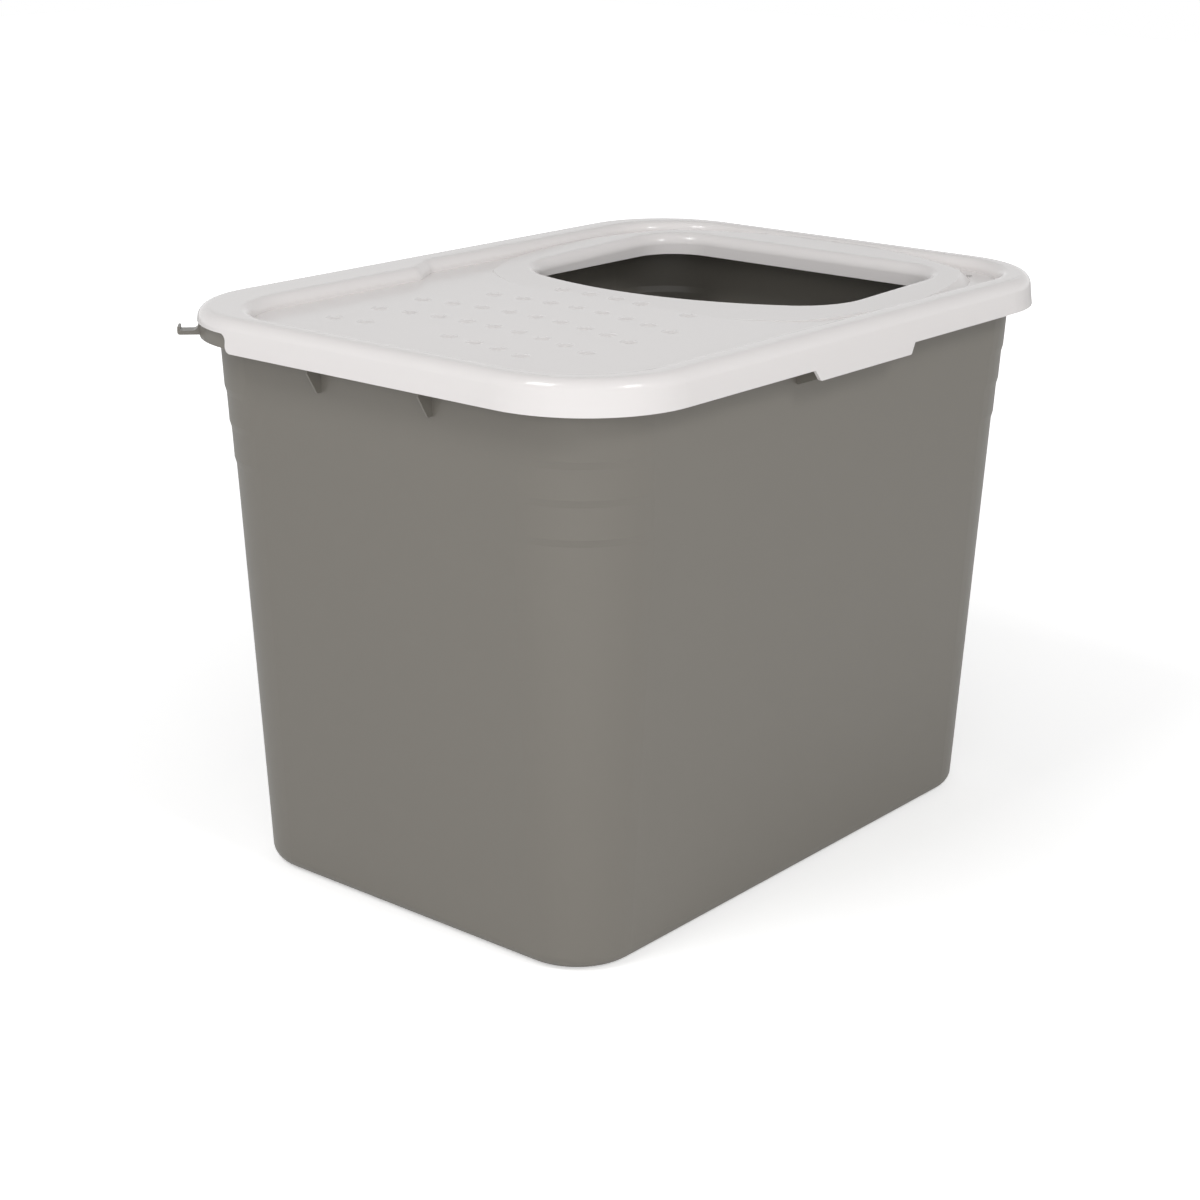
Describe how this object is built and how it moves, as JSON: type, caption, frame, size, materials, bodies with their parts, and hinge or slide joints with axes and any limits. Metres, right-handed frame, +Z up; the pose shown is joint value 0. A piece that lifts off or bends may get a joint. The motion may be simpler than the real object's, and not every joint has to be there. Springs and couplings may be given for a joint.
{
  "type": "top entry litter box",
  "caption": "Tall tapered moulded tub with a press-on lid that has a large rounded entry opening in a raised surround beside a bumped tray.",
  "frame": {"origin": "centre of the underside of the tub, on the floor", "axes": "+X along the length, towards the entry opening; +Y towards the long side next to the scoop hook; +Z up"},
  "size_m": [0.514, 0.3768, 0.378],
  "materials": {
    "tub_plastic": "satin moulded, warm grey",
    "lid_plastic": "satin moulded, off-white"
  },
  "bodies": {
    "tub": {"tub": "tub_plastic", "rim_top": "tub_plastic", "rim_lip": "tub_plastic", "gussets": "tub_plastic", "scoop_hook": "tub_plastic"},
    "lid": {"lid": "lid_plastic"}
  },
  "joints": [
    {"name": "lid_lift", "type": "slide", "parent": "tub", "child": "lid", "axis": [0, 0, 1], "range_m": [0, 0.1]}
  ]
}
